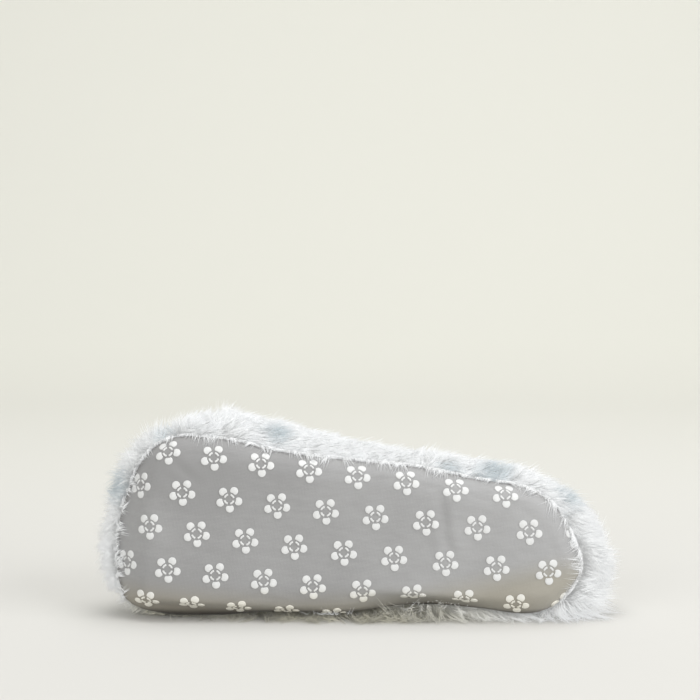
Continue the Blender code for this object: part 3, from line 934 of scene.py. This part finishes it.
def behindEdge(roots, middles, tips, rng):  # hairs under the sole end at a ragged line on the floor
    edge = furCoat["floorEdge"] + rng.uniform(0, furCoat["floorRagged"], len(roots))
    short = np.clip((roots[:, 1] - edge) / np.maximum(roots[:, 1] - tips[:, 1], 1e-6), 0, 1)
    short = np.where(tips[:, 1] < edge, short, 1.0)[:, None]
    return roots + (middles - roots) * short, roots + (tips - roots) * short


def lightOn(tips, spots):
    free = smoothStep(tips[:, 2] + follow(tips[:, 0], furLight["ends"]), *floorShade)
    least = furLight["least"] + furLight["moreBehind"] * smoothStep(spots[:, 2], *furLight["behind"])
    return (least + (1 - least) * free) * follow(tips[:, 0], furLight["dimEnds"])


def makeFur(backing, sole):
    rng = np.random.default_rng(furCoat["seed"])
    count, tufts = furCoat["hairs"], furCoat["tufts"]
    outerFaces = [p.index for p in backing.data.polygons if p.material_index == 0]
    roots, facings = scatter(backing.data, outerFaces, count, rng, pressedShare)
    spots = toShoe(roots)
    groups = ("swells", "locks", "tufts")
    swellOf, lockOf, tuftOf = (nearestLeader(roots, roots[: furCoat[group]]) for group in groups)
    lockSway = rng.normal(scale=furCoat["lockSway"], size=(furCoat["locks"], 3))
    tuftSway = rng.normal(scale=furCoat["tuftSway"], size=(tufts, 3))
    way, lay, under = combFur(roots, facings, lockSway[lockOf] + tuftSway[tuftOf], rng)
    lengths = furLengths(roots, under, swellOf, lockOf, rng)
    middles = roots + way * (lengths * hairForm["lower"])[:, None]
    curl = lay * (furCoat["curl"] * (1 - under))[:, None]
    bend = unit(way + curl + np.array((0, 0, -furCoat["droop"])))
    tips = middles + bend * (lengths * hairForm["upper"])[:, None]
    pull = (rng.uniform(*furCoat["pull"], count) + furUnder["pull"] * under)[:, None]
    tips = tips + (tips[:tufts][tuftOf] - tips) * pull
    middles = middles + (middles[:tufts][tuftOf] - middles) * pull * furCoat["pullMiddle"]
    clearance = furCoat["clearance"] + furCoat["clearanceMore"] * rng.random(count)
    middles = onFloor(roots, middles, clearance, lay)
    tips = onFloor(middles, tips, clearance, lay)
    middles, tips = behindEdge(roots, middles, tips, rng)
    nearSole = (spots[:, 2] < furCoat["soleNear"]) & (toShoe(tips)[:, 2] < soleCover["thick"])
    stoppedBy(surfaceOf(sole), np.nonzero(nearSole)[0], roots, middles, tips)
    spot = nearness(tips, allSpots(roots, rng)) * rng.uniform(*spotForm["vary"], count)
    widths = furCoat["width"] * rng.uniform(*hairForm["widths"], count)
    tuftTone = rng.random(tufts)[tuftOf]
    oneTone = furUnder["oneTone"] * under
    tone = rng.random(count) * (1 - oneTone) + tuftTone * oneTone
    # painted shade: hairs in these gaps take the shadow colour
    tone *= 1 - tuftShadeShare * nearness(tips, metres(shadedTufts))
    free = lightOn(tips, spots)
    material = furMaterial()
    part = np.digitize(roots[:, 0], np.quantile(roots[:, 0], (0.25, 0.5, 0.75)))
    for index, name in enumerate(furPieces):
        mine = part == index
        numbers = {"spot": spot[mine], "tone": tone[mine], "free": free[mine]}
        hair = hairMesh(name, roots[mine], middles[mine], tips[mine], widths[mine], numbers, rng)
        addObject(name, hair, material)
        print(name, int(mine.sum()), "hairs", len(hair.polygons), "faces")
    return material


edgeWisps = {  # fur that falls over the sole's edge, on the sides that don't touch the floor
    "seed": 3, "hairs": 2700, "tufts": 300, "from": (0.0135, 0.0162), "turned": -0.5,
    "reach": (0.0075, 0.0190), "vary": (0.7, 1.05), "width": 0.00014, "lean": 0.55, "stray": 0.15,
    "off": (0.0004, 0.0016, 0.0007),  # root, bend and tip, from the sole
    "shares": {0.0: 1.35, 0.045: 1.1, 0.07: 1.0, 0.215: 1.0, 0.240: 0.70, 0.262: 0.48},  # longer at the heel
}


def onWall(face):  # near the seam, and not turned to the floor
    low, high = edgeWisps["from"]
    return low < toShoe(face.center)[2] < high and face.normal.z > edgeWisps["turned"]


def makeWisps(sole, material):
    rng = np.random.default_rng(edgeWisps["seed"])
    count, tufts = edgeWisps["hairs"], edgeWisps["tufts"]
    skin = surfaceOf(sole)
    walls = [p.index for p in sole.data.polygons if onWall(p)]
    leaders, _ = scatter(sole.data, walls, tufts, rng)
    roots, facings = scatter(sole.data, walls, count, rng)
    tuftOf = nearestLeader(roots, leaders)
    leans = rng.normal(scale=edgeWisps["lean"], size=tufts)[tuftOf]
    leans = leans + rng.normal(scale=edgeWisps["stray"], size=count)
    least, most = edgeWisps["reach"]
    tuftReach = least + (most - least) * rng.random(tufts) ** 2
    reaches = tuftReach[tuftOf] * rng.uniform(*edgeWisps["vary"], count)
    reaches *= follow(toShoe(roots)[:, 0], edgeWisps["shares"])
    rootOff, bendOff, tipOff = edgeWisps["off"]
    middles, tips = np.empty_like(roots), np.empty_like(roots)
    for index in range(count):
        root, facing = Vector(roots[index]), Vector(facings[index])
        heading = -upward - upward.cross(facing) * leans[index]
        for ends, share, off in ((middles, hairForm["lower"], bendOff), (tips, 1.0, tipOff)):
            spot, out = walk(skin, root, facing, heading, reaches[index] * share)
            ends[index] = spot + out * off
    roots = roots + facings * rootOff
    numbers = {"spot": np.zeros(count), "tone": rng.random(count), "free": np.ones(count)}
    widths = edgeWisps["width"] * rng.uniform(*hairForm["widths"], count)
    hair = hairMesh("furEdge", roots, middles, tips, widths, numbers, rng)
    addObject("furEdge", hair, material)
    print("furEdge", count, "hairs")


plushHair = {"stray": 0.35, "curl": 0.5, "vary": (0.7, 1.2), "widths": (0.8, 1.2), "free": 0.75}


def makeNap(name, mesh, faceSet, sizes, material):  # short plush on the lining and the footbed
    rng = np.random.default_rng(sizes["seed"])
    count = sizes["hairs"]
    roots, facings = scatter(mesh, faceSet, count, rng)
    way = unit(facings + rng.normal(scale=plushHair["stray"], size=facings.shape))
    lengths = (sizes["length"] * rng.uniform(*plushHair["vary"], count))[:, None]
    middles = roots + way * lengths * hairForm["lower"]
    bend = unit(way + rng.normal(scale=plushHair["curl"], size=way.shape))
    tips = middles + bend * lengths * hairForm["upper"]
    widths = sizes["width"] * rng.uniform(*plushHair["widths"], count)
    free = np.full(count, plushHair["free"])
    numbers = {"spot": np.zeros(count), "tone": rng.random(count), "free": free}
    addObject(name, hairMesh(name, roots, middles, tips, widths, numbers, rng), material)
    print(name, count, "hairs")


footbed = {
    "voxel": 0.0022, "smooth": 3, "spread": 0.0036,
    "seed": 8, "hairs": 9000, "length": 0.0035, "width": 0.00022,
}


def makeFootbed(hairMaterial):
    skin = evenMesh(mergedCopy("insole"), "footbed", footbed["voxel"])
    smoothed(skin, skin.verts, footbed["smooth"])
    skin.normal_update()
    for vert in skin.verts:  # the cushion is pressed against the lining
        vert.co += (vert.normal - upward * vert.normal.dot(upward)) * footbed["spread"]
    bmesh.ops.triangulate(skin, faces=skin.faces)
    bmesh.ops.recalc_face_normals(skin, faces=skin.faces)
    mesh = meshFromShape("footbed", skin)
    made = addObject("footbed", mesh, liningCloth("footbedPlush"), "insole")
    top = [p.index for p in mesh.polygons if np.array(p.normal) @ shoeAxes[:, 2] > 0.0]
    makeNap("footbedNap", mesh, top, footbed, hairMaterial)


setCamera()
setStudio()
sole = makeSole()
makeGrips(sole)
backing = makeBacking()
hairMaterial = makeFur(backing, sole)
makeWisps(sole, hairMaterial)
liningFaces = [p.index for p in backing.data.polygons if p.material_index == 1]
makeNap("liningNap", backing.data, liningFaces, liningPlush, hairMaterial)
makeFootbed(hairMaterial)
bpy.context.scene.view_settings.view_transform = "Standard"
